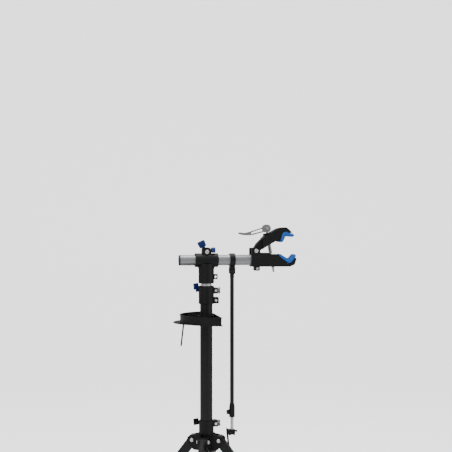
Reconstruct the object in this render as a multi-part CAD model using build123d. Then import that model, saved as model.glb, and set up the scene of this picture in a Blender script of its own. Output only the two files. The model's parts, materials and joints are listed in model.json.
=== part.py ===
from build123d import *
import math
import os

# Bike repair stand, millimetres. Floor centre under the mast, +Z up, +X along the clamp arm.

# ---- driving dimensions ----
ARM_Z = 1100.0
TUBE_R = 19.0
TUBE_WALL = 1.8
MAST_R = 22.25
MAST_WALL = 1.5
MAST_BOTTOM = 85.0
MAST_TOP = 985.0
RUN = 0.06
GAP = 0.4

COLLAR_R = 27.5
COLLAR_Z = (943.0, 1008.0)
SOCKET_R = 28.0
SOCKET_BOTTOM = 1017.0
BARREL_R = 25.0
BARREL_X = (-41.5, 42.0)

LEG_AZIMUTHS = (-22.0, 68.0, 158.0, 248.0)
LEG_SLOPE = 53.0
LEG_PIN_R = 48.8
LEG_PIN_Z = 455.0
LEG_DEPTH = 34.0
LEG_WIDTH = 20.0
LEG_WALL = 1.6
LEG_LENGTH = 542.0
LEG_COLLAR_Z = (418.0, 524.0)
CHEEK_OUT = 18.0
STRUT_AT = 220.0
STRUT_HUB_R = 40.0
STRUT_HUB_Z = 115.0
STRUT_HALF = 9.0
BAR_IN = 10.6
BAR_OUT = 13.6

TRAY_Z = 875.0
TRAY_TOP = 905.0
TRAY_WALL_X = 32.0
TRAY_HALF = 140.0
TRAY_REACH = -94.0

ROD_X = 94.0
ROD_PIVOT_Z = 1058.5
ROD_R = 7.3
ROD_BORE = 6.0
ROD_INNER_R = 5.4
SLEEVE_Z = (533.0, 582.0)
SADDLE_Z = 488.0

JAW_PIVOT = (179.0, 1133.0)
CAM_CENTRE = (221.0, 1214.0)
NUT_CENTRE = (244.0, 1081.0)
CAM_R = 14.5
CAM_PIN_R = 5.0
JAW_HALF = 23.5
PAD_HALF = 24.3


# ---- building blocks ----
def cyl_z(r, z0, z1, x=0.0, y=0.0):
    """A cylinder along Z."""
    return Pos(x, y, (z0 + z1) / 2) * Cylinder(r, z1 - z0)


def cyl_x(r, x0, x1, y=0.0, z=0.0):
    """A cylinder along X."""
    return Pos((x0 + x1) / 2, y, z) * Rot(0, 90, 0) * Cylinder(r, x1 - x0)


def cyl_y(r, y0, y1, x=0.0, z=0.0):
    """A cylinder along Y."""
    return Pos(x, (y0 + y1) / 2, z) * Rot(90, 0, 0) * Cylinder(r, y1 - y0)


def block(x0, x1, y0, y1, z0, z1):
    """A box between two corners."""
    centre = Pos((x0 + x1) / 2, (y0 + y1) / 2, (z0 + z1) / 2)
    return centre * Box(x1 - x0, y1 - y0, z1 - z0)


def plate_y(points, radii, y0, y1):
    """A rounded outline in the XZ plane, given depth along Y."""
    face = make_face(FilletPolyline(*points, radius=radii, close=True))
    return Pos(0, y1, 0) * Rot(90, 0, 0) * extrude(face, y1 - y0)


def turned(shape, degrees):
    """A shape turned about the mast."""
    return Rot(0, 0, degrees) * shape


def bolt_y(r, head_r, y0, y1, x, z, head=4.5):
    """A bolt along Y with a domed head in front and a nut behind."""
    shank = cyl_y(r, y0 - 1.0, y1 + 1.0, x, z)
    front = cyl_y(head_r, y0 - head, y0, x, z)
    front = fillet(front.edges().sort_by(Axis.Y)[0], head * 0.6)
    socket = cyl_y(head_r * 0.35, y0 - head, y0 - head + 2.0, x, z)
    nut = Pos(x, y1 + head / 2, z) * Rot(90, 0, 0) * extrude(RegularPolygon(head_r * 0.9, 6), head / 2, both=True)
    return shank + (front - socket) + nut


def polar(distance, degrees):
    """A vector in the plane from its length and its angle."""
    angle = math.radians(degrees)
    return distance * math.cos(angle), distance * math.sin(angle)


# ---- mast ----
def make_main_tube():
    """The fixed outer mast tube."""
    return cyl_z(MAST_R, MAST_BOTTOM, MAST_TOP) - cyl_z(MAST_R - MAST_WALL, MAST_BOTTOM, MAST_TOP)


def pinch_ears(z0, z1, x1, x0=MAST_R):
    """Two clamp ears beside the slit of a split collar."""
    outline = [(x0, z0), (x1, z0), (x1, z1), (x0, z1)]
    radii = [0.5, 2.5, 2.5, 0.5]
    return plate_y(outline, radii, -12.0, -1.5) + plate_y(outline, radii, 1.5, 12.0)


def make_mast_collar():
    """The split collar that clamps the inner tube at the mast's top."""
    low, high = COLLAR_Z
    body = cyl_z(COLLAR_R, low, high)
    body = fillet(body.edges().filter_by(GeomType.CIRCLE), 1.5)
    body -= block(0, 60, -1.5, 1.5, low, high)
    body += pinch_ears(980.0, 1001.0, 42.0) + pinch_ears(944.5, 967.0, 44.0)
    body -= cyl_z(MAST_R, low - 1, MAST_TOP + 4.0)
    body -= cyl_z(TUBE_R + 1.0, MAST_TOP, high + 1)
    for z in (MAST_LEVER_Z, 955.5):
        body -= cyl_y(3.0, -20, 20, EAR_BOLT_X, z)
    return body


def make_tube_plug():
    """The plug that closes the mast's foot."""
    lip = cyl_z(MAST_R, MAST_BOTTOM - 5, MAST_BOTTOM)
    return fillet(lip.edges().sort_by(Axis.Z)[0], 2.0) + cyl_z(MAST_R - MAST_WALL, MAST_BOTTOM, MAST_BOTTOM + 12)


def make_mast_bush():
    """The plastic bush between the two mast tubes."""
    bush = cyl_z(MAST_R - MAST_WALL - RUN, 925, MAST_TOP + 0.3) + cyl_z(MAST_R - 0.4, MAST_TOP + 0.3, MAST_TOP + 3.0)
    return bush - cyl_z(TUBE_R + RUN, 920, MAST_TOP + 5)


def make_inner_tube():
    """The sliding inner mast tube."""
    return cyl_z(TUBE_R, 100, 1074) - cyl_z(TUBE_R - TUBE_WALL, 100, 1074)


EAR_BOLT_X = 33.0
MAST_LEVER_Z = 991.0
LEG_LEVER_Z = 513.0
CAM_Y = 22.0


def make_wrap_lever(z, paddle_rise):
    """A cam lever that wraps round the back of a collar and ends in a paddle that faces forward."""
    arc_r = 36.0
    strap = cyl_z(arc_r + 2.5, z - 6, z + 6) - cyl_z(arc_r - 2.5, z - 6, z + 6)
    sector = make_face(Polyline((0, 0), (90, 56), (0, 120), (-110, 30), (0, 0)))
    strap = strap & (Pos(0, 0, z - 10) * extrude(sector, 20))
    paddle = Pos(-34.5, 19.5, z + paddle_rise) * Rot(0, -6, 12) * Box(19, 7, 23)
    paddle = fillet(paddle.edges(), 2.0)
    cam = cyl_z(9.0, z - 8, z + 8, EAR_BOLT_X + 0.4, CAM_Y)
    lever = strap + paddle + cam - cyl_z(3.0 + RUN, z - 10, z + 10, EAR_BOLT_X, CAM_Y)
    lever -= block(EAR_BOLT_X - 4.2, EAR_BOLT_X + 20, CAM_Y - 15, CAM_Y + 7, z - 4.2, z + 4.2)
    lever -= cyl_z(31.0, z - 8, z + 8)
    return lever


def make_lever_bolt(z):
    """The eye bolt through the collar's ears, with the cam's cross pin."""
    bolt = cyl_y(3.0, -13, CAM_Y, EAR_BOLT_X, z) + cyl_y(5.0, -16.0, -12, EAR_BOLT_X, z)
    return bolt + cyl_z(3.0, z - 10, z + 10, EAR_BOLT_X, CAM_Y)


def make_collar_bolt():
    """The lower pinch bolt of the mast collar."""
    return bolt_y(3.0, 5.0, -12.0, 12.0, EAR_BOLT_X, 955.5, 3.6)


# ---- tee and arm ----
EAR_X = (-16.0, 15.0)
TEE_BOLT_Z = 1129.5
TEE_CAM_Y = 24.0
KNOB_Y = -8.0
KNOB_Z = 1136.5


def make_tee():
    """The tee that joins the arm to the mast's inner tube."""
    barrel = cyl_x(BARREL_R, *BARREL_X, z=ARM_Z)
    barrel = fillet(barrel.edges().filter_by(GeomType.CIRCLE), 1.5)
    socket = cyl_z(SOCKET_R, SOCKET_BOTTOM, ARM_Z - 12)
    socket = fillet(socket.edges().sort_by(Axis.Z)[0], 1.5)
    shoulder = loft([Pos(0, 0, 1066) * Circle(SOCKET_R - 0.4), Pos(0, 0, 1088) * Ellipse(35.0, 21.0)])
    ear = [(EAR_X[0], 1118), (EAR_X[1], 1118), (EAR_X[1], 1146), (EAR_X[0], 1146)]
    ears = plate_y(ear, [1, 1, 10, 10], -16.5, -1.5) + plate_y(ear, [1, 1, 10, 10], 1.5, 13.5)
    lug = plate_y([(24, 1031.5), (41, 1031.5), (41, 1050), (24, 1050)], [1, 3, 3, 1], -5, 5)
    tee = barrel + socket + shoulder + ears + lug
    tee -= block(-60, 60, -1.5, 1.5, ARM_Z, ARM_Z + 30)
    tee -= cyl_x(BARREL_R - 4, -60, 60, z=ARM_Z) + cyl_z(TUBE_R, SOCKET_BOTTOM - 1, 1074)
    tee -= cyl_y(4.4, -10, 10, 34.0, 1040.0)
    tee -= cyl_y(3.0, -30, 30, 0, TEE_BOLT_Z)
    tee -= cyl_x(3.0 + RUN, 5.0, 20, KNOB_Y, KNOB_Z)
    return tee


def make_tee_bolt():
    """The eye bolt that pinches the tee on to the arm's bush, with the cam's cross pin."""
    bolt = cyl_y(3.0, -18, TEE_CAM_Y, 0, TEE_BOLT_Z)
    head = cyl_y(7.5, -21.5, -16.5, 0, TEE_BOLT_Z)
    head = fillet(head.edges().sort_by(Axis.Y)[0], 3.0)
    pin = Pos(0, TEE_CAM_Y, TEE_BOLT_Z) * Rot(0, 90 - 24, 0) * Cylinder(3.4, 20)
    return bolt + head + pin


def make_tee_lever():
    """The blue cam lever behind the tee, leaning to the left."""
    cam = cyl_x(9.5, -7.5, 7.5, 1.0, 0)
    arm = block(-6.5, 6.5, -2.5, 3.5, 0, 24)
    paddle = fillet(block(-12.5, 12.5, -3.5, 4.5, 20, 39).edges(), 3.0)
    lever = cam + arm + paddle - cyl_x(3.4 + RUN, -10, 10)
    lever -= block(-4.2, 4.2, -12, 5.5, -12, 4.2)
    return Pos(0, TEE_CAM_Y, TEE_BOLT_Z) * Rot(0, -24, 0) * lever


def make_tee_knob():
    """The blue locking knob, with its stud, along X."""
    grip = cyl_x(9.8, EAR_X[1] + 1.5, 31.5, KNOB_Y, KNOB_Z)
    grip = fillet(grip.edges().filter_by(GeomType.CIRCLE), 2.0)
    for step in range(6):
        y, z = polar(11.2, 60 * step)
        grip -= cyl_x(2.6, 10, 40, KNOB_Y + y, KNOB_Z + z)
    return grip + cyl_x(3.0, 6.0, EAR_X[1] + 2, KNOB_Y, KNOB_Z)


def make_arm_bush():
    """The plastic bush that turns in the tee and lets the arm slide."""
    bush = cyl_x(BARREL_R - 4 - RUN, BARREL_X[0] + 1, BARREL_X[1] - 1, z=ARM_Z)
    return bush - cyl_x(TUBE_R + RUN, -60, 60, z=ARM_Z)


def make_arm_tube():
    """The arm tube."""
    return cyl_x(TUBE_R, -96, 222, z=ARM_Z) - cyl_x(TUBE_R - TUBE_WALL, -96, 222, z=ARM_Z)


def make_arm_cap():
    """The cap in the arm's open end."""
    lip = cyl_x(TUBE_R, -99.5, -96, z=ARM_Z)
    return fillet(lip.edges().sort_by(Axis.X)[0], 1.5) + cyl_x(TUBE_R - TUBE_WALL, -96, -84, z=ARM_Z)


# ---- clamp head ----
LOWER_JAW = [(161.5, 1076), (305, 1075.5), (322, 1083), (329, 1104), (320, 1112), (303, 1092.5),
             (270, 1120.5), (161.5, 1120.5)]
LOWER_JAW_R = [2, 18, 12, 3, 2, 9, 3, 2]
UPPER_JAW = [(165, 1129), (184, 1160), (214, 1188), (264, 1216), (292, 1219), (314, 1198),
             (284, 1190), (270, 1164), (252, 1168), (226, 1154), (190, 1131), (176, 1119)]
UPPER_JAW_R = [6, 30, 60, 50, 14, 2, 2, 2, 8, 40, 10, 6]
LOWER_PAD = [(264.5, 1125.5), (260.5, 1116.5), (303, 1080.5), (331, 1116), (322, 1124), (302, 1104.5)]
LOWER_PAD_R = [4.5, 4.5, 8, 5, 5, 6]
UPPER_PAD = [(264.2, 1165.5), (276.5, 1161.5), (287.5, 1184.5), (321.5, 1184), (321.5, 1195.5), (281.5, 1206.5)]
UPPER_PAD_R = [5, 5, 6, 5, 5, 14]


def make_clamp_body():
    """The lower jaw, with the arm's socket and the two ears of the jaw's hinge."""
    body = plate_y(LOWER_JAW, LOWER_JAW_R, -JAW_HALF, JAW_HALF)
    ear = [(161.5, 1110), (194, 1110), (194, 1144), (161.5, 1144)]
    for y0, y1 in ((-JAW_HALF, -15.5), (15.5, JAW_HALF)):
        body += plate_y(ear, [1, 1, 7, 3], y0, y1)
    body += block(194, 228, -JAW_HALF, JAW_HALF, 1119, 1125.5)
    body += plate_y([(175, 1061), (194.5, 1061), (194.5, 1080), (175, 1080)], [3, 3, 1, 1], -13, 13)
    body -= block(163, 196, -15.5, 15.5, 1121, 1150)
    body -= cyl_x(TUBE_R, 150, 222, z=ARM_Z)
    body -= block(150, 200, -1.5, 1.5, 1050, ARM_Z)
    body -= cyl_y(3.0, -20, 20, 184.5, 1070)
    body -= cyl_y(4.0, -30, 30, *JAW_PIVOT)
    body -= cyl_y(8.0 + RUN, -16, 16, *NUT_CENTRE)
    body -= block(230, 258, -7, 7, 1060, 1130)
    body -= make_lower_pad()
    return body


def make_lower_pad():
    """The lower rubber pad."""
    return plate_y(LOWER_PAD, LOWER_PAD_R, -PAD_HALF, PAD_HALF)


def make_upper_pad():
    """The upper rubber pad."""
    return plate_y(UPPER_PAD, UPPER_PAD_R, -PAD_HALF, PAD_HALF)


def make_jaw_bolt():
    """The bolt of the jaw's hinge."""
    return bolt_y(4.0, 7.2, -JAW_HALF, JAW_HALF, *JAW_PIVOT)


def make_body_bolt():
    """The pinch bolt under the clamp body."""
    return bolt_y(3.0, 5.5, -13.0, 13.0, 184.5, 1070, 4.0)


def rod_frame():
    """The place and tilt of the clamp rod: local +Z runs from the barrel nut to the cam."""
    lean = math.degrees(math.atan2(CAM_CENTRE[0] - NUT_CENTRE[0], CAM_CENTRE[1] - NUT_CENTRE[1]))
    return Pos(NUT_CENTRE[0], 0, NUT_CENTRE[1]) * Rot(0, lean, 0)


def make_upper_jaw():
    """The arched upper jaw, narrow at its hinge, slotted for the rod."""
    jaw = plate_y(UPPER_JAW, UPPER_JAW_R, -JAW_HALF, JAW_HALF)
    for side in (-1, 1):
        low, high = sorted((side * 15.0, side * 40.0))
        jaw -= block(150, 203, low, high, 1100, 1180)
    jaw -= cyl_y(4.0 + RUN, -30, 30, *JAW_PIVOT)
    slot = rod_frame() * block(-8, 17, -7, 7, 40, 170)
    jaw -= slot
    return jaw - make_upper_pad()


def make_cam_seat():
    """The hollowed plastic seat that the cam presses on."""
    seat = block(-14, 14, -14, 14, 104, 117.5) - block(-9, 12, -6.5, 6.5, 90, 130)
    seat = rod_frame() * seat - cyl_y(CAM_R + 0.8, -30, 30, *CAM_CENTRE)
    return seat - plate_y(UPPER_JAW, UPPER_JAW_R, -JAW_HALF, JAW_HALF)


def make_barrel_nut():
    """The barrel nut that turns in the clamp body and takes the rod."""
    return cyl_y(8.0, -15, 15, *NUT_CENTRE) - rod_frame() * cyl_z(4.0 + RUN, -20, 20)


def rod_length():
    """The distance from the barrel nut to the cam's pin."""
    return math.hypot(CAM_CENTRE[0] - NUT_CENTRE[0], CAM_CENTRE[1] - NUT_CENTRE[1])


def make_clamp_rod():
    """The threaded rod, with the cam's pin across its top."""
    rod = rod_frame() * cyl_z(4.0, -26, rod_length())
    return rod + cyl_y(CAM_PIN_R, -17, 17, *CAM_CENTRE)


def make_jaw_spring():
    """The envelope of the spring round the rod that opens the jaws."""
    return rod_frame() * (cyl_z(7.0, 41.5, 76.5) - cyl_z(5.2, 41.5, 76.5))


def make_cam_lever():
    """The forked cam lever."""
    x, z = CAM_CENTRE
    disc = cyl_y(CAM_R, -13, 13, x, z)
    outer = [(119, 1193.5), (140, 1189), (165, 1189.5), (209, 1201), (209, 1218), (190, 1212),
             (158, 1201.5), (140, 1197.5), (119, 1200.5)]
    lever = plate_y(outer, [3, 40, 60, 2, 2, 60, 60, 40, 3], -10, 10)
    window = [(163, 1193.5), (208, 1204.5), (208, 1214.0), (188, 1208.0), (163, 1199.0)]
    lever -= plate_y(window, [1, 1, 1, 20, 1], -30, 30)
    lever += disc
    lever -= cyl_y(CAM_PIN_R + RUN, -30, 30, x, z)
    return lever - rod_frame() * block(-5.2, 40, -5.2, 5.2, rod_length() - 40, rod_length() + 10)


# ---- handlebar rod ----
def make_rod_band():
    """The band on the arm with the two ears of the rod's hinge."""
    band = cyl_x(24.5, 85, 103.5, z=ARM_Z) + block(85, 103.5, -11, 11, 1068, ARM_Z)
    band += plate_y([(84, 1047.5), (104.5, 1047.5), (104.5, 1074), (84, 1074)], [9, 9, 2, 2], -11, 11)
    band -= cyl_x(TUBE_R, 80, 110, z=ARM_Z)
    band -= block(70, 120, -5.5, 5.5, 1040, 1071.5)
    for z in (ARM_Z - 6, ARM_Z + 6):
        band -= cyl_y(2.2, -30, -21, ROD_X, z)
    return band - cyl_y(3.0, -20, 20, ROD_X, ROD_PIVOT_Z)


def make_band_screws():
    """The screws on the front of the band and the bolt of the rod's hinge."""
    screws = bolt_y(3.0, 5.0, -11.0, 11.0, ROD_X, ROD_PIVOT_Z, 3.0)
    for z in (ARM_Z - 6, ARM_Z + 6):
        screws += cyl_y(2.2, -26.0, -21.0, ROD_X, z)
    return screws


def make_rod_tube():
    """The rod's outer tube, with a flat tongue at its top."""
    tongue = cyl_y(9.5, -5.0, 5.0, ROD_X, ROD_PIVOT_Z) + block(ROD_X - 7, ROD_X + 7, -5, 5, 1036, ROD_PIVOT_Z)
    tube = cyl_z(ROD_R, SLEEVE_Z[0] + 22, 1046, ROD_X) - cyl_z(ROD_BORE, 500, 1030, ROD_X)
    return tongue + tube - cyl_y(3.0 + RUN, -20, 20, ROD_X, ROD_PIVOT_Z)


def make_rod_sleeve():
    """The clamp sleeve at the tube's lower end."""
    low, high = SLEEVE_Z
    sleeve = cyl_z(10.3, low, high - 12, ROD_X) + Pos(ROD_X, 0, high - 6) * Cone(10.3, 8.2, 12)
    sleeve += block(ROD_X - 13, ROD_X, -5, 5, 543, 560)
    sleeve -= cyl_z(ROD_R, low + 22, high + 1, ROD_X) + cyl_z(ROD_INNER_R + GAP, low - 1, low + 23, ROD_X)
    return sleeve - cyl_x(2.0 + RUN, ROD_X - 20, ROD_X, 0, 551.0)


def make_rod_screw():
    """The thumb screw of the sleeve."""
    head = cyl_x(8.0, ROD_X - 19.5, ROD_X - 13.5, 0, 551.0)
    for step in range(8):
        y, z = polar(8.6, 45 * step)
        head -= cyl_x(1.4, ROD_X - 21, ROD_X - 12, y, 551.0 + z)
    return head + cyl_x(2.0, ROD_X - 14, ROD_X - 6.2, 0, 551.0)


def make_rod_inner():
    """The telescoping inner rod."""
    return cyl_z(ROD_INNER_R, SADDLE_Z - 6, 905, ROD_X)


def make_rod_saddle():
    """The cradle that the handlebar lies in, with the strap's slot and peg."""
    saddle = fillet(block(75, 104, -13, 13, 476.5, SADDLE_Z).edges().filter_by(Axis.Z), 2.0)
    saddle += block(82, 103.5, -11, 11, 468.5, 477)
    saddle += cyl_x(3.2, 103, 112, 0, 482) + cyl_x(4.5, 110, 112.5, 0, 482)
    saddle -= cyl_y(9.0, -30, 30, 92.5, 462.0)
    saddle -= cyl_z(ROD_INNER_R, SADDLE_Z - 6, SADDLE_Z + 1, ROD_X)
    return saddle


def make_strap():
    """The rubber strap that hangs from the cradle."""
    line = FilletPolyline((75.9, 495), (76.2, 462), (82.5, 430), (88.5, 396), (88, 362), (78, 326),
                          radius=[60, 90, 110, 60])
    face = trace(line, 5.0)
    strap = Pos(0, 11, 0) * Rot(90, 0, 0) * extrude(face, 22)
    knob = block(73.4, 79.6, -12.5, 12.5, 489, 495.5)
    strap = strap + knob - block(75.0, 90, -13.5, 13.5, 476.0, SADDLE_Z + 0.4)
    strap += block(72.9, 75.0, -11, 11, 474, 495)
    for step in range(3):
        strap -= cyl_x(3.4, 60, 110, 0, 345 + 27 * step)
    return strap


# ---- tray ----
def tray_outline(grow):
    """The half-moon outline: one straight edge and one arc."""
    top = (TRAY_WALL_X + grow, TRAY_HALF + grow)
    bottom = (TRAY_WALL_X + grow, -TRAY_HALF - grow)
    return make_face(ThreePointArc(top, (TRAY_REACH - grow, 0), bottom) + Line(bottom, top))


def make_tray_ring():
    """The split ring that grips the mast and carries the tray."""
    ring = cyl_z(26.0, TRAY_Z - 6, TRAY_TOP - 2) + cyl_z(30.0, TRAY_Z - 6, TRAY_Z - 0.4)
    ring -= cyl_z(MAST_R + RUN, TRAY_Z - 10, TRAY_TOP)
    return ring - block(-40, 0, -1.0, 1.0, TRAY_Z - 10, TRAY_TOP)


FLANGE_HOLES = ((-106, 8, 8.5), (-104, -22, 6.0), (-99.5, 40, 6.0), (-88, 70, 8.0), (-95, -48, 4.5))
KEY_HOLE = (-68.0, 95.0)


def make_tray():
    """The parts tray: half-moon bowl, divider, boss and a crescent flange with tool holes."""
    tray = Pos(0, 0, TRAY_Z) * extrude(tray_outline(4), 2.5)
    wall = extrude(tray_outline(0), TRAY_TOP - TRAY_Z) - extrude(tray_outline(-2.5), TRAY_TOP - TRAY_Z)
    lip = extrude(tray_outline(2), 2.5) - extrude(tray_outline(-2.5), 2.5)
    rib = Rot(0, 0, 128) * block(20, 128, -1.2, 1.2, TRAY_Z, TRAY_TOP - 6)
    tray += Pos(0, 0, TRAY_Z) * wall + Pos(0, 0, TRAY_TOP - 2.5) * lip
    tray += cyl_z(29.0, TRAY_Z, TRAY_TOP - 3) + rib
    crescent = make_face(ThreePointArc((-40, 118), (-118, 12), (-66, -86)) + Line((-66, -86), (-40, 118)))
    flange = Pos(0, 0, TRAY_Z) * extrude(crescent, 2.5)
    for x, y, r in FLANGE_HOLES:
        flange -= cyl_z(r, TRAY_Z - 5, TRAY_Z + 5, x, y)
    flange -= cyl_z(4.5, TRAY_Z - 5, TRAY_Z + 5, *KEY_HOLE)
    tray += flange - Pos(0, 0, TRAY_Z) * extrude(tray_outline(0), 3)
    return tray - cyl_z(26.0 + RUN, TRAY_Z - 5, TRAY_TOP + 5)


def make_hex_key():
    """A bent hexagon key that hangs in the tray's flange."""
    long_arm = Pos(0, 0, -97) * extrude(RegularPolygon(3.0, 6), 103)
    short_arm = Pos(0, 0, 5.7) * Rot(-90, 0, 0) * extrude(RegularPolygon(3.0, 6), 20)
    elbow = Pos(0, 0, 5.7) * Sphere(2.9)
    return Pos(KEY_HOLE[0], KEY_HOLE[1], TRAY_Z + 2.5) * Rot(0, 6.5, 0) * (long_arm + elbow + short_arm)


# ---- base ----
def leg_frame():
    """Local +X runs down the leg from its pin, local Z is the leg's depth."""
    return Pos(LEG_PIN_R, 0, LEG_PIN_Z) * Rot(0, LEG_SLOPE, 0)


def make_leg_collar():
    """The sliding collar with four double-walled leg brackets."""
    low, high = LEG_COLLAR_Z
    collar = cyl_z(26.5, low, high)
    cheek = [(20, low), (44, low + 2), (66, 448), (66.5, 464), (58, 470), (26, 477), (20, 477)]
    for azimuth in LEG_AZIMUTHS:
        for y0, y1 in ((-CHEEK_OUT, -LEG_WIDTH / 2 - GAP), (LEG_WIDTH / 2 + GAP, CHEEK_OUT)):
            collar += turned(plate_y(cheek, [1, 12, 8, 5, 8, 1, 1], y0, y1), azimuth)
    collar += pinch_ears(502.0, 524.0, 42.0, 20.0)
    collar -= block(0, 60, -1.5, 1.5, 498, high + 1)
    collar -= cyl_z(MAST_R + RUN, low - 1, high + 1)
    collar -= cyl_y(3.0, -20, 20, EAR_BOLT_X, LEG_LEVER_Z)
    for azimuth in LEG_AZIMUTHS:
        collar -= turned(cyl_y(4.0, -20, 20, LEG_PIN_R, LEG_PIN_Z), azimuth)
    return collar


def make_leg_pins():
    """The four leg pins with their domed heads."""
    pins = []
    for azimuth in LEG_AZIMUTHS:
        pin = cyl_y(4.0, -CHEEK_OUT, CHEEK_OUT, LEG_PIN_R, LEG_PIN_Z)
        for side in (-1, 1):
            y0, y1 = sorted((side * CHEEK_OUT, side * (CHEEK_OUT + 5.5)))
            head = cyl_y(7.0, y0, y1, LEG_PIN_R, LEG_PIN_Z)
            outer = head.edges().filter_by(GeomType.CIRCLE).sort_by(Axis.Y)[0 if side < 0 else -1]
            pin += fillet(outer, 2.5) - cyl_y(2.5, side * 26 - 5, side * 26 + 5, LEG_PIN_R, LEG_PIN_Z)
        pins.append(turned(pin, azimuth))
    return Compound(children=pins)


def oblong(length, depth, width, start):
    """A bar along local X with an oblong section."""
    bar = block(start, start + length, -width / 2, width / 2, -depth / 2, depth / 2)
    return fillet(bar.edges().filter_by(Axis.X), min(depth, width) * 0.2)


def make_leg(azimuth):
    """One leg tube, open at its foot, with a round head about its pin."""
    leg = oblong(LEG_LENGTH, LEG_DEPTH, LEG_WIDTH, 0)
    leg += cyl_y(LEG_DEPTH / 2, -LEG_WIDTH / 2, LEG_WIDTH / 2)
    hollow = oblong(LEG_LENGTH, LEG_DEPTH - 2 * LEG_WALL, LEG_WIDTH - 2 * LEG_WALL, 0)
    leg -= hollow
    leg -= cyl_y(4.0 + RUN, -20, 20)
    return turned(leg_frame() * leg, azimuth)


def make_foot(azimuth):
    """One rubber foot round the leg's end, cut flat by the floor."""
    boot = oblong(62, LEG_DEPTH + 8, LEG_WIDTH + 7, LEG_LENGTH - 38)
    boot -= oblong(60, LEG_DEPTH, LEG_WIDTH, LEG_LENGTH - 60)
    boot = leg_frame() * boot
    return turned(boot & block(200, 600, -50, 50, 0, 200), azimuth)


def strut_ends():
    """The strut's hub pin, its far end at the leg, its length and its slope."""
    dx, dz = polar(STRUT_AT, -LEG_SLOPE)
    far_x, far_z = LEG_PIN_R + dx, LEG_PIN_Z + dz
    run, rise = far_x - STRUT_HUB_R, far_z - STRUT_HUB_Z
    return math.hypot(run, rise), math.degrees(math.atan2(rise, run))


def make_strut(azimuth):
    """One strut: two flat bars astride the leg, each with a rivet head at the leg."""
    length, slope = strut_ends()
    bars = []
    for side in (-1, 1):
        y0, y1 = sorted((side * BAR_IN, side * BAR_OUT))
        bar = SlotCenterToCenter(length, 2 * STRUT_HALF)
        bar = Pos(length / 2, y1, 0) * Rot(90, 0, 0) * extrude(bar, y1 - y0)
        bar -= cyl_y(3.5 + RUN, -30, 30)
        h0, h1 = sorted((side * BAR_OUT, side * (BAR_OUT + 3.0)))
        head = cyl_y(6.5, h0, h1, length, 0)
        outer = head.edges().filter_by(GeomType.CIRCLE).sort_by(Axis.Y)[0 if side < 0 else -1]
        bars.append(bar + fillet(outer, 1.8))
    strut = Pos(STRUT_HUB_R, 0, STRUT_HUB_Z) * Rot(0, -slope, 0) * Compound(children=bars)
    return turned(strut, azimuth)


def make_strut_hub():
    """The fixed hub near the mast's foot."""
    hub = cyl_z(29.0, STRUT_HUB_Z - 20, STRUT_HUB_Z + 20)
    hub = fillet(hub.edges().filter_by(GeomType.CIRCLE), 2.0)
    ear = [(20, STRUT_HUB_Z - 13), (50, STRUT_HUB_Z - 13), (50, STRUT_HUB_Z + 13), (20, STRUT_HUB_Z + 13)]
    for azimuth in LEG_AZIMUTHS:
        lug = plate_y(ear, [1, 10, 10, 1], -BAR_IN + GAP, BAR_IN - GAP)
        hub += turned(lug, azimuth)
    hub -= cyl_z(MAST_R, 80, 150)
    for azimuth in LEG_AZIMUTHS:
        hub -= turned(cyl_y(3.5, -20, 20, STRUT_HUB_R, STRUT_HUB_Z), azimuth)
    return hub


def make_hub_pins():
    """The four pins of the strut hub."""
    reach = BAR_OUT + GAP
    pins = []
    for azimuth in LEG_AZIMUTHS:
        pin = cyl_y(3.5, -reach, reach, STRUT_HUB_R, STRUT_HUB_Z)
        pin += cyl_y(6.0, -reach - 2.5, -reach, STRUT_HUB_R, STRUT_HUB_Z)
        pin += cyl_y(6.0, reach, reach + 2.5, STRUT_HUB_R, STRUT_HUB_Z)
        pins.append(turned(pin, azimuth))
    return Compound(children=pins)


# ---- parts ----
nodes = {
    "main_tube": make_main_tube(),
    "tube_plug": make_tube_plug(),
    "mast_collar": make_mast_collar(),
    "mast_lever_bolt": make_lever_bolt(MAST_LEVER_Z),
    "mast_collar_bolt": make_collar_bolt(),
    "mast_lever": make_wrap_lever(MAST_LEVER_Z, 14.0),
    "mast_bush": make_mast_bush(),
    "inner_tube": make_inner_tube(),
    "tee_fitting": make_tee(),
    "tee_bolt": make_tee_bolt(),
    "tee_lever": make_tee_lever(),
    "tee_knob": make_tee_knob(),
    "arm_bush": make_arm_bush(),
    "arm_tube": make_arm_tube(),
    "arm_end_cap": make_arm_cap(),
    "clamp_body": make_clamp_body(),
    "clamp_body_bolt": make_body_bolt(),
    "lower_pad": make_lower_pad(),
    "jaw_hinge_bolt": make_jaw_bolt(),
    "upper_jaw": make_upper_jaw(),
    "upper_pad": make_upper_pad(),
    "cam_seat": make_cam_seat(),
    "barrel_nut": make_barrel_nut(),
    "clamp_rod": make_clamp_rod(),
    "cam_lever": make_cam_lever(),
    "jaw_spring": make_jaw_spring(),
    "rod_band": make_rod_band(),
    "band_screws": make_band_screws(),
    "rod_tube": make_rod_tube(),
    "rod_sleeve": make_rod_sleeve(),
    "rod_screw": make_rod_screw(),
    "rod_inner": make_rod_inner(),
    "rod_saddle": make_rod_saddle(),
    "handlebar_strap": make_strap(),
    "tray_ring": make_tray_ring(),
    "tray": make_tray(),
    "hex_key": make_hex_key(),
    "leg_collar": make_leg_collar(),
    "leg_pins": make_leg_pins(),
    "leg_lever_bolt": make_lever_bolt(LEG_LEVER_Z),
    "leg_lever": make_wrap_lever(LEG_LEVER_Z, 3.5),
    "strut_hub": make_strut_hub(),
    "strut_hub_pins": make_hub_pins(),
}
for number, azimuth in enumerate(LEG_AZIMUTHS, start=1):
    nodes[f"leg_tube_{number}"] = make_leg(azimuth)
    nodes[f"leg_foot_{number}"] = make_foot(azimuth)
    nodes[f"strut_{number}"] = make_strut(azimuth)

os.makedirs("parts", exist_ok=True)
for name, shape in nodes.items():
    export_step(shape, f"parts/{name}.step")
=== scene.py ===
import bpy
import bmesh
import json
import math
from mathutils import Matrix, Vector


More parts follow.
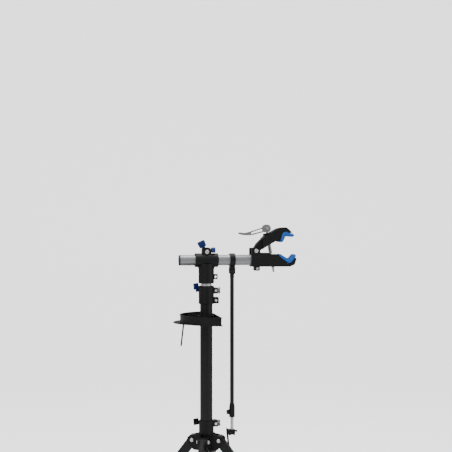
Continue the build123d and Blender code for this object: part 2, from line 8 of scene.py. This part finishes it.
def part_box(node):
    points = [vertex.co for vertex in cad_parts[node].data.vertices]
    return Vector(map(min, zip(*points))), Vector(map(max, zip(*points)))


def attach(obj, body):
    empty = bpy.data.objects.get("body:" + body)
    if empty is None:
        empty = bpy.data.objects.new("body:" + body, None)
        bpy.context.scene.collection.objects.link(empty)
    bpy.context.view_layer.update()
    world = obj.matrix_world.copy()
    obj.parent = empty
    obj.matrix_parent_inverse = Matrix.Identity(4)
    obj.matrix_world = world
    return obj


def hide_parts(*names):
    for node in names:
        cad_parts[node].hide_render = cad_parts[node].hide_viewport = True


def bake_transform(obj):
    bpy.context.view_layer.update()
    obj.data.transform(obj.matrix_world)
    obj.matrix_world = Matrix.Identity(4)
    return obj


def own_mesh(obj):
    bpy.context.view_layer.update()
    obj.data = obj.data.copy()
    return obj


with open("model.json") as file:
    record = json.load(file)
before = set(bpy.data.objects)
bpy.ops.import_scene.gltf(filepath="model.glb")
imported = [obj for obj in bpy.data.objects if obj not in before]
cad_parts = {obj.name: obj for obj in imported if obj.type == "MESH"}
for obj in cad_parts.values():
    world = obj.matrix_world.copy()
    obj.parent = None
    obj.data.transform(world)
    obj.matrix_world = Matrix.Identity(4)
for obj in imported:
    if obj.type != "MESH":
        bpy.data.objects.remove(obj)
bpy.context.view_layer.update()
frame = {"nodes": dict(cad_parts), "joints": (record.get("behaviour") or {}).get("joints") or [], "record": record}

# ---- named values, in metres unless said otherwise ----
CAMERA_TURN = math.radians(10.0)
CAMERA_DISTANCE = 3.6
CAMERA_SIDE = 0.071
CAMERA_HEIGHT = 1.223
FOCAL_LENGTH = 79.65
SENSOR = 36.0
MM = 0.001
LEG_SLOPE = 53.0
BOOT_START = 0.504
BOOT_END = 0.565
PAD_HALF_WIDTH = 0.0246
STRAP_HALF_WIDTH = 0.0098
BAIL_RISE = 0.0065
BAIL_WIRE = 0.0016
BAIL_PIN_X = 0.0475
WORLD_LIGHT = 0.55
WORLD_GLOW = 1.7
FLOOR_GLOW = 1.5
TUBE_COLOUR = (0.25, 0.255, 0.263)
GRIP_HALF_WIDTH = 13.4  # in millimetres, like the rest of make_grip
GRIP_HALF_DEPTH = 4.9
JOINTS = {joint["name"]: joint for joint in frame["joints"]}


def joint_point(name):
    """The rest position of a joint's axis."""
    return Vector(JOINTS[name]["pos_m"])


# ---- materials ----
def new_material(name, colour, metallic, roughness):
    """A material with its fixed numbers set on the shader's own sockets."""
    made = bpy.data.materials.new(name)
    made.use_nodes = True
    shader = made.node_tree.nodes["Principled BSDF"]
    shader.inputs["Base Color"].default_value = (*colour, 1.0)
    shader.inputs["Metallic"].default_value = metallic
    shader.inputs["Roughness"].default_value = roughness
    return made, made.node_tree, shader


def noise(tree, scale, detail=3.0, stretch=(1, 1, 1)):
    """A noise texture fixed to the piece, with an optional stretch for brushed grain."""
    place = tree.nodes.new("ShaderNodeTexCoord")
    mapping = tree.nodes.new("ShaderNodeMapping")
    mapping.inputs["Scale"].default_value = stretch
    texture = tree.nodes.new("ShaderNodeTexNoise")
    texture.inputs["Scale"].default_value = scale
    texture.inputs["Detail"].default_value = detail
    tree.links.new(place.outputs["Object"], mapping.inputs["Vector"])
    tree.links.new(mapping.outputs["Vector"], texture.inputs["Vector"])
    return texture


def spread(tree, texture, low, high, target):
    """Maps a texture's value to a range and feeds it to a socket."""
    ranged = tree.nodes.new("ShaderNodeMapRange")
    ranged.inputs["From Min"].default_value = 0.3
    ranged.inputs["From Max"].default_value = 0.7
    ranged.inputs["To Min"].default_value = low
    ranged.inputs["To Max"].default_value = high
    tree.links.new(texture.outputs["Fac"], ranged.inputs["Value"])
    tree.links.new(ranged.outputs["Result"], target)


def tone(tree, texture, dark, light, target):
    """Colours between two tones by a texture."""
    ramp = tree.nodes.new("ShaderNodeValToRGB")
    ramp.color_ramp.elements[0].position = 0.32
    ramp.color_ramp.elements[0].color = (*dark, 1.0)
    ramp.color_ramp.elements[1].position = 0.68
    ramp.color_ramp.elements[1].color = (*light, 1.0)
    tree.links.new(texture.outputs["Fac"], ramp.inputs["Fac"])
    tree.links.new(ramp.outputs["Color"], target)


def bump(tree, shader, texture, strength, depth):
    """Fine relief from a texture."""
    relief = tree.nodes.new("ShaderNodeBump")
    relief.inputs["Strength"].default_value = strength
    relief.inputs["Distance"].default_value = depth
    tree.links.new(texture.outputs["Fac"], relief.inputs["Height"])
    tree.links.new(relief.outputs["Normal"], shader.inputs["Normal"])


def shaded(colour, factor):
    """A colour made lighter or darker."""
    return tuple(min(1.0, channel * factor) for channel in colour)


def surface(name, colour, metallic, roughness, grain, relief, depth=0.0002, vary=0.25,
            stretch=(1, 1, 1), sheen=0.5):
    """A finish with cloudy tone, uneven roughness and a fine grain."""
    made, tree, shader = new_material(name, colour, metallic, roughness)
    cloud = noise(tree, 9.0, 5.0)
    fine = noise(tree, grain, 4.0, stretch)
    tone(tree, cloud, shaded(colour, 1 - vary), shaded(colour, 1 + vary), shader.inputs["Base Color"])
    spread(tree, fine, roughness * 0.85, min(1.0, roughness * 1.15), shader.inputs["Roughness"])
    bump(tree, shader, fine, relief, depth)
    shader.inputs["Specular IOR Level"].default_value = sheen
    return made


FINISHES = {
    "black_paint": surface("powder_coat", (0.004, 0.004, 0.0044), 0.0, 0.36, 1400, 0.2, sheen=0.26),
    "black_plastic": surface("black_nylon", (0.0035, 0.0035, 0.004), 0.0, 0.46, 2200, 0.3, sheen=0.2),
    "bush_plastic": surface("acetal", (0.03, 0.03, 0.033), 0.0, 0.45, 900, 0.1, sheen=0.3),
    "silver_tube": surface("anodised_tube", TUBE_COLOUR, 0.8, 0.42, 260, 0.12, 0.0001, 0.05, (0.15, 6, 6)),
    "silver_lever": surface("blasted_lever", (0.2, 0.203, 0.21), 0.75, 0.46, 2600, 0.35, vary=0.08),
    "bolt_steel": surface("zinc_bolt", (0.6, 0.6, 0.58), 0.95, 0.3, 900, 0.15, vary=0.08),
    "rod_steel": surface("zinc_thread", (0.34, 0.34, 0.33), 0.85, 0.36, 800, 0.15, vary=0.12),
    "black_steel": surface("black_oxide", (0.02, 0.02, 0.022), 0.5, 0.4, 1100, 0.2, sheen=0.4),
    "blue_plastic": surface("blue_lever", (0.002, 0.014, 0.1), 0.0, 0.34, 1500, 0.12, vary=0.12, sheen=0.35),
    "pad_rubber": surface("pad_rubber", (0.005, 0.072, 0.31), 0.0, 0.6, 1800, 0.35, vary=0.14, sheen=0.3),
    "black_rubber": surface("black_rubber", (0.007, 0.007, 0.007), 0.0, 0.7, 1500, 0.45,
                            vary=0.2, sheen=0.25),
}


# ---- carried-over CAD nodes ----
SOFT_EDGES = {"lower_pad": 2.2, "upper_pad": 2.2, "tee_lever": 0.5, "tee_knob": 0.4, "clamp_body": 1.2,
              "upper_jaw": 1.2, "tray": 0.5, "tee_fitting": 0.8, "leg_collar": 0.8, "mast_collar": 0.8,
              "cam_lever": 0.8}
EDGE = 0.35
SLOTS = {row["node"]: row["material_slot"] for row in frame["record"]["subparts"]}
SLOTS["band_screws"] = "black_steel"
UPRIGHT = ("inner_tube", "rod_inner")


def soften(piece, width):
    """Joins split corners, rounds sharp edges and evens the shading, by modifiers only."""
    if piece.data.has_custom_normals:
        with bpy.context.temp_override(object=piece, active_object=piece):
            bpy.ops.mesh.customdata_custom_splitnormals_clear()
    piece.data.shade_smooth()
    weld = piece.modifiers.new("weld", "WELD")
    weld.merge_threshold = 0.00002
    edge = piece.modifiers.new("edge", "BEVEL")
    edge.width = width * MM
    edge.segments = 2
    edge.limit_method = "ANGLE"
    edge.angle_limit = math.radians(38)
    edge.use_clamp_overlap = True
    even = piece.modifiers.new("even", "WEIGHTED_NORMAL")
    even.keep_sharp = False


upright_finish = surface("anodised_post", (0.5, 0.5, 0.49), 0.6, 0.42, 260, 0.12, 0.0001, 0.05, (6, 6, 0.15))
for node_name, node in frame["nodes"].items():
    finish = upright_finish if node_name in UPRIGHT else FINISHES[SLOTS[node_name]]
    node.data.materials.clear()
    node.data.materials.append(finish)
    soften(node, SOFT_EDGES.get(node_name, EDGE))


# ---- new pieces ----
def add_piece(name, bm, slot_name, *stands_for):
    """Turns a bmesh into a piece that stands for CAD nodes."""
    bmesh.ops.recalc_face_normals(bm, faces=bm.faces)
    mesh = bpy.data.meshes.new(name)
    bm.to_mesh(mesh)
    bm.free()
    mesh.shade_smooth()
    piece = bpy.data.objects.new(name, mesh)
    bpy.context.scene.collection.objects.link(piece)
    mesh.materials.append(FINISHES[slot_name])
    if stands_for:
        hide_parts(*stands_for)
    return piece


def rings_to_mesh(bm, rings):
    """Skins a list of equal rings of points and closes both ends."""
    loops = [[bm.verts.new(point) for point in ring] for ring in rings]
    count = len(loops[0])
    for first, second in zip(loops, loops[1:]):
        for i in range(count):
            j = (i + 1) % count
            bm.faces.new((first[i], first[j], second[j], second[i]))
    bm.faces.new(reversed(loops[0]))
    bm.faces.new(loops[-1])


def smooth_path(points, steps):
    """A Catmull-Rom curve through points in the XZ plane."""
    ends = [points[0] * 2 - points[1]] + points + [points[-1] * 2 - points[-2]]
    line = []
    for p0, p1, p2, p3 in zip(ends, ends[1:], ends[2:], ends[3:]):
        for step in range(steps):
            t = step / steps
            line.append(0.5 * (2 * p1 + (p2 - p0) * t + (2 * p0 - 5 * p1 + 4 * p2 - p3) * t * t
                               + (3 * p1 - p0 - 3 * p2 + p3) * t ** 3))
    return line + [points[-1]]


def in_box(node, x_share, z_share, half=0.0):
    """A point in a node's box by its shares along X and Z, mid depth, with a half thickness in mm."""
    low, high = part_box(node)
    x = low.x + (high.x - low.x) * x_share
    z = low.z + (high.z - low.z) * z_share
    return Vector((x, (low.y + high.y) / 2, z, half * MM))


def superellipse(count, half_a, half_b, power):
    """Points round a rounded rectangle."""
    points = []
    for i in range(count):
        angle = 2 * math.pi * i / count
        c, s = math.cos(angle), math.sin(angle)
        points.append((half_a * math.copysign(abs(c) ** (2 / power), c),
                       half_b * math.copysign(abs(s) ** (2 / power), s)))
    return points


def make_band(name, path, half_width, ridge, pitch, slot_name, node):
    """A moulded rubber band along a path in the XZ plane, with fine ridges across it and round ends."""
    bm = bmesh.new()
    rings = []
    length = 0.0
    total = sum((b.xyz - a.xyz).length for a, b in zip(path, path[1:]))
    for i, point in enumerate(path):
        before = path[max(i - 1, 0)].xyz
        after = path[min(i + 1, len(path) - 1)].xyz
        length += (point.xyz - before).length
        along = (after - before).normalized()
        normal = Vector((-along.z, 0, along.x))
        near_end = min(length, total - length) / (point.w * 1.1)
        taper = math.sqrt(max(0.04, 1 - (1 - min(1.0, near_end)) ** 2))
        swell = ridge * max(0.0, math.cos(2 * math.pi * length / pitch))
        ring = []
        for across, up in superellipse(28, half_width - (1 - taper) * point.w, point.w, 5.0):
            lift = up * taper + math.copysign(swell * taper, up) * (abs(across) < half_width * 0.86)
            ring.append(point.xyz + Vector((0, across, 0)) + normal * lift)
        rings.append(ring)
    rings_to_mesh(bm, rings)
    return add_piece(name, bm, slot_name, node)


def make_pads():
    """The two moulded jaw pads, thickest in their crooks."""
    lower = [in_box("lower_pad", *row) for row in ((0.035, 0.9, 4.9), (0.32, 0.555, 6.2), (0.5, 0.36, 7.6),
                                                   (0.6, 0.3, 8.6), (0.7, 0.4, 7.8), (0.82, 0.64, 6.4),
                                                   (0.94, 0.89, 5.9))]
    upper = [in_box("upper_pad", *row) for row in ((0.106, 0.05, 6.0), (0.2, 0.34, 6.8), (0.27, 0.64, 9.4),
                                                   (0.39, 0.765, 9.8), (0.62, 0.72, 7.6), (0.8, 0.665, 6.2),
                                                   (0.98, 0.63, 5.8))]
    pad = make_band("lower_pad_moulded", smooth_path(lower, 14), PAD_HALF_WIDTH, 0.0005, 0.0045,
                    "pad_rubber", "lower_pad")
    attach(pad, "arm")
    pad = make_band("upper_pad_moulded", smooth_path(upper, 14), PAD_HALF_WIDTH, 0.0005, 0.0045,
                    "pad_rubber", "upper_pad")
    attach(pad, "jaw")


def make_thread():
    """The clamp rod with a rolled thread, and the cam's cross pin."""
    nut, cam = joint_point("nut_turn"), joint_point("cam_flip")
    axis = (cam - nut).normalized()
    side = Vector((0, 1, 0))
    other = axis.cross(side)
    pitch, root, crest = 0.0020, 0.0035, 0.0040
    start, stop = -0.026, (cam - nut).length
    rows = int((stop - start) / pitch * 6)
    bm = bmesh.new()
    rings = []
    for row in range(rows + 1):
        height = start + (stop - start) * row / rows
        ring = []
        for i in range(24):
            turn = i / 24
            phase = (height / pitch - turn) % 1.0
            radius = root + (crest - root) * (1 - abs(2 * phase - 1))
            radius *= min(1.0, 0.8 + (height - start) / 0.006)
            angle = 2 * math.pi * turn
            ring.append(nut + axis * height + (side * math.cos(angle) + other * math.sin(angle)) * radius)
        rings.append(ring)
    rings_to_mesh(bm, rings)
    pin = []
    for y, radius in ((-0.017, 0.0042), (-0.0165, 0.0049), (0.0165, 0.0049), (0.017, 0.0042)):
        ring = []
        for i in range(32):
            angle = 2 * math.pi * i / 32
            ring.append(cam + Vector((math.cos(angle) * radius, y, math.sin(angle) * radius)))
        pin.append(ring)
    rings_to_mesh(bm, pin)
    piece = add_piece("clamp_rod_threaded", bm, "rod_steel", "clamp_rod")
    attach(piece, "clamp_rod")


def make_spring():
    """The jaw spring, a wire coil round the rod, carried with the barrel nut."""
    nut, cam = joint_point("nut_turn"), joint_point("cam_flip")
    axis = (cam - nut).normalized()
    side = Vector((0, 1, 0))
    other = axis.cross(side)
    low, high, turns, radius, wire = 0.0415, 0.0765, 9, 0.0057, 0.0014
    bm = bmesh.new()
    rings = []
    steps = turns * 24
    for step in range(steps + 1):
        share = step / steps
        angle = 2 * math.pi * turns * share
        out = side * math.cos(angle) + other * math.sin(angle)
        centre = nut + axis * (low + (high - low) * share) + out * radius
        ring = []
        for i in range(8):
            around = 2 * math.pi * i / 8
            ring.append(centre + (out * math.cos(around) + axis * math.sin(around)) * wire)
        rings.append(ring)
    rings_to_mesh(bm, rings)
    piece = add_piece("jaw_spring_wire", bm, "rod_steel", "jaw_spring")
    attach(piece, "barrel_nut")
    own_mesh(piece)


def make_strap():
    """The rubber strap: a smooth curved band that bends just below the cradle."""
    shares = ((0.16, 0.985), (0.2, 0.9), (0.28, 0.82), (0.38, 0.72), (0.52, 0.61), (0.78, 0.45),
              (0.86, 0.32), (0.78, 0.19), (0.5, 0.08), (0.3, 0.02))
    path = smooth_path([in_box("handlebar_strap", x, z, 2.4) for x, z in shares], 10)
    strap = make_band("handlebar_strap_moulded", path, STRAP_HALF_WIDTH, 0.0004, 0.009,
                      "black_rubber", "handlebar_strap")
    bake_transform(strap)


def make_foot(number):
    """A ribbed rubber boot on a leg's end, flat where it stands on the floor."""
    pin = joint_point(f"leg_{number}_hinge")
    out = Vector((pin.x, pin.y, 0)).normalized()
    side = Vector((-out.y, out.x, 0))
    slope = math.radians(LEG_SLOPE)
    along = out * math.cos(slope) - Vector((0, 0, math.sin(slope)))
    deep = out * math.sin(slope) + Vector((0, 0, math.cos(slope)))
    bm = bmesh.new()
    rings = []
    rows = 44
    for row in range(rows + 1):
        share = row / rows
        distance = BOOT_START + (BOOT_END - BOOT_START) * share
        groove = 0.0009 * (math.cos(share * math.pi * 10) < -0.35) * (share < 0.62)
        lip = 0.0025 * math.exp(-((share / 0.035) ** 2))
        ring = []
        for across, up in superellipse(36, 0.0133 - groove - lip, 0.0208 - groove - lip, 6.0):
            point = pin + along * distance + side * across + deep * up
            point.z = max(point.z, 0.0)
            ring.append(point)
        rings.append(ring)
    rings_to_mesh(bm, rings)
    piece = add_piece(f"leg_foot_{number}_boot", bm, "black_rubber", f"leg_foot_{number}")
    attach(piece, f"leg_{number}")


def make_grip():
    """The soft rounded grip over the end of the tee's blue lever."""
    pivot = joint_point("tee_lever_flip")
    across = -Vector(JOINTS["tee_lever_flip"]["axis"]).normalized()
    back = Vector((0, 1, 0))
    rise = across.cross(back)
    bm = bmesh.new()
    rings = []
    for height, share in ((18.6, 0.72), (19.4, 0.88), (21.0, 0.97), (23.5, 1.0), (30.0, 1.03), (37.0, 1.06),
                          (40.0, 1.04), (41.6, 0.94), (42.3, 0.78)):
        ring = []
        for wide, deep in superellipse(36, GRIP_HALF_WIDTH * share, GRIP_HALF_DEPTH * share, 4.0):
            ring.append(pivot + (across * wide + back * (deep + 0.5) + rise * height) * MM)
        rings.append(ring)
    rings_to_mesh(bm, rings)
    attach(add_piece("tee_lever_grip", bm, "blue_plastic"), "tee_lever")


def make_bail(name, height, body):
    """The bright wire bail round the end of a collar's ears, with its upright pin."""
    corners = ((38.5, -14.2), (44, -14.0), (48.5, -11), (50, -5), (50, 0), (50, 5), (48.5, 11),
               (44, 14.0), (41, 14.2))
    plan = [Vector((x * MM, y * MM, 0)) for x, y in corners]
    bm = bmesh.new()
    for level in (height - BAIL_RISE, height + BAIL_RISE):
        line = smooth_path([point + Vector((0, 0, level)) for point in plan], 8)
        rings = []
        for i, point in enumerate(line):
            along = (line[min(i + 1, len(line) - 1)] - line[max(i - 1, 0)]).normalized()
            out = Vector((along.y, -along.x, 0))
            turns = [2 * math.pi * k / 12 for k in range(12)]
            rings.append([point + (out * math.cos(a) + Vector((0, 0, math.sin(a)))) * BAIL_WIRE
                          for a in turns])
        rings_to_mesh(bm, rings)
    rings = []
    for rise, radius in ((-0.0115, 0.0022), (-0.0105, 0.0032), (0.0105, 0.0032), (0.0115, 0.0022)):
        turns = [2 * math.pi * k / 20 for k in range(20)]
        rings.append([Vector((BAIL_PIN_X + radius * math.cos(a), radius * math.sin(a), height + rise))
                      for a in turns])
    rings_to_mesh(bm, rings)
    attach(add_piece(name, bm, "silver_lever"), body)


make_pads()
make_thread()
make_spring()
make_strap()
make_grip()
make_bail("mast_collar_bail", joint_point("mast_lever_flip").z, "mast")
make_bail("leg_collar_bail", joint_point("leg_lever_flip").z, "leg_collar")
for number in range(1, 5):
    make_foot(number)


# ---- stage ----
def camera_glow(tree, strength):
    """A factor that is one glow strong where the camera looks straight at a surface and nothing elsewhere."""
    path = tree.nodes.new("ShaderNodeLightPath")
    times = tree.nodes.new("ShaderNodeMath")
    times.operation = "MULTIPLY"
    times.inputs[1].default_value = strength
    tree.links.new(path.outputs["Is Camera Ray"], times.inputs[0])
    return times.outputs["Value"]


def make_stage():
    """A pale floor that curves up into a backdrop far behind the object."""
    bm = bmesh.new()
    profile = [(-6.0, 0.0), (4.0, 0.0), (5.0, 0.15), (5.7, 0.6), (6.0, 1.4), (6.0, 7.0)]
    turn = Matrix.Rotation(-CAMERA_TURN, 3, "Z")
    rows = []
    for depth, height in profile:
        rows.append([bm.verts.new(turn @ Vector((x, depth, height))) for x in (-9.0, 9.0)])
    for first, second in zip(rows, rows[1:]):
        bm.faces.new((first[0], first[1], second[1], second[0]))
    mesh = bpy.data.meshes.new("floor")
    bm.to_mesh(mesh)
    bm.free()
    mesh.shade_smooth()
    floor = bpy.data.objects.new("floor", mesh)
    bpy.context.scene.collection.objects.link(floor)
    paper = surface("pale_floor", (0.86, 0.86, 0.86), 0.0, 0.7, 60, 0.02, vary=0.01)
    shader = paper.node_tree.nodes["Principled BSDF"]
    shader.inputs["Emission Color"].default_value = (1.0, 1.0, 1.0, 1.0)
    paper.node_tree.links.new(camera_glow(paper.node_tree, FLOOR_GLOW), shader.inputs["Emission Strength"])
    mesh.materials.append(paper)


def add_area(name, place, target, size, power):
    """A soft square light aimed at a point."""
    data = bpy.data.lights.new(name, "AREA")
    data.size = size
    data.energy = power
    light = bpy.data.objects.new(name, data)
    light.location = place
    light.rotation_euler = (Vector(target) - Vector(place)).to_track_quat("-Z", "Y").to_euler()
    bpy.context.scene.collection.objects.link(light)


def make_lights():
    """Soft light from above, a key from the left front and a fill from the right."""
    world = bpy.data.worlds.new("studio")
    world.use_nodes = True
    world.node_tree.nodes["Background"].inputs["Color"].default_value = (1.0, 1.0, 1.0, 1.0)
    lift = world.node_tree.nodes.new("ShaderNodeMath")
    lift.inputs[1].default_value = WORLD_LIGHT
    world.node_tree.links.new(camera_glow(world.node_tree, WORLD_GLOW), lift.inputs[0])
    world.node_tree.links.new(lift.outputs["Value"], world.node_tree.nodes["Background"].inputs["Strength"])
    bpy.context.scene.world = world
    add_area("key", (-2.2, -2.6, 3.2), (0, 0, 0.9), 1.6, 110)
    add_area("fill", (2.8, -1.8, 2.0), (0, 0, 0.9), 1.6, 45)
    add_area("top", (0.3, 0.2, 3.6), (0, 0, 1.0), 1.8, 70)


def make_camera():
    """A level camera, a little to the right of the mast, with the arm turned away by a few degrees."""
    across = Vector((math.cos(CAMERA_TURN), -math.sin(CAMERA_TURN), 0))
    ahead = Vector((math.sin(CAMERA_TURN), math.cos(CAMERA_TURN), 0))
    data = bpy.data.cameras.new("camera")
    data.lens = FOCAL_LENGTH
    data.sensor_width = SENSOR
    camera = bpy.data.objects.new("camera", data)
    camera.location = across * CAMERA_SIDE - ahead * CAMERA_DISTANCE + Vector((0, 0, CAMERA_HEIGHT))
    camera.rotation_euler = (math.pi / 2, 0, -CAMERA_TURN)
    bpy.context.scene.collection.objects.link(camera)
    bpy.context.scene.camera = camera


make_stage()
make_lights()
make_camera()

bpy.context.view_layer.update()
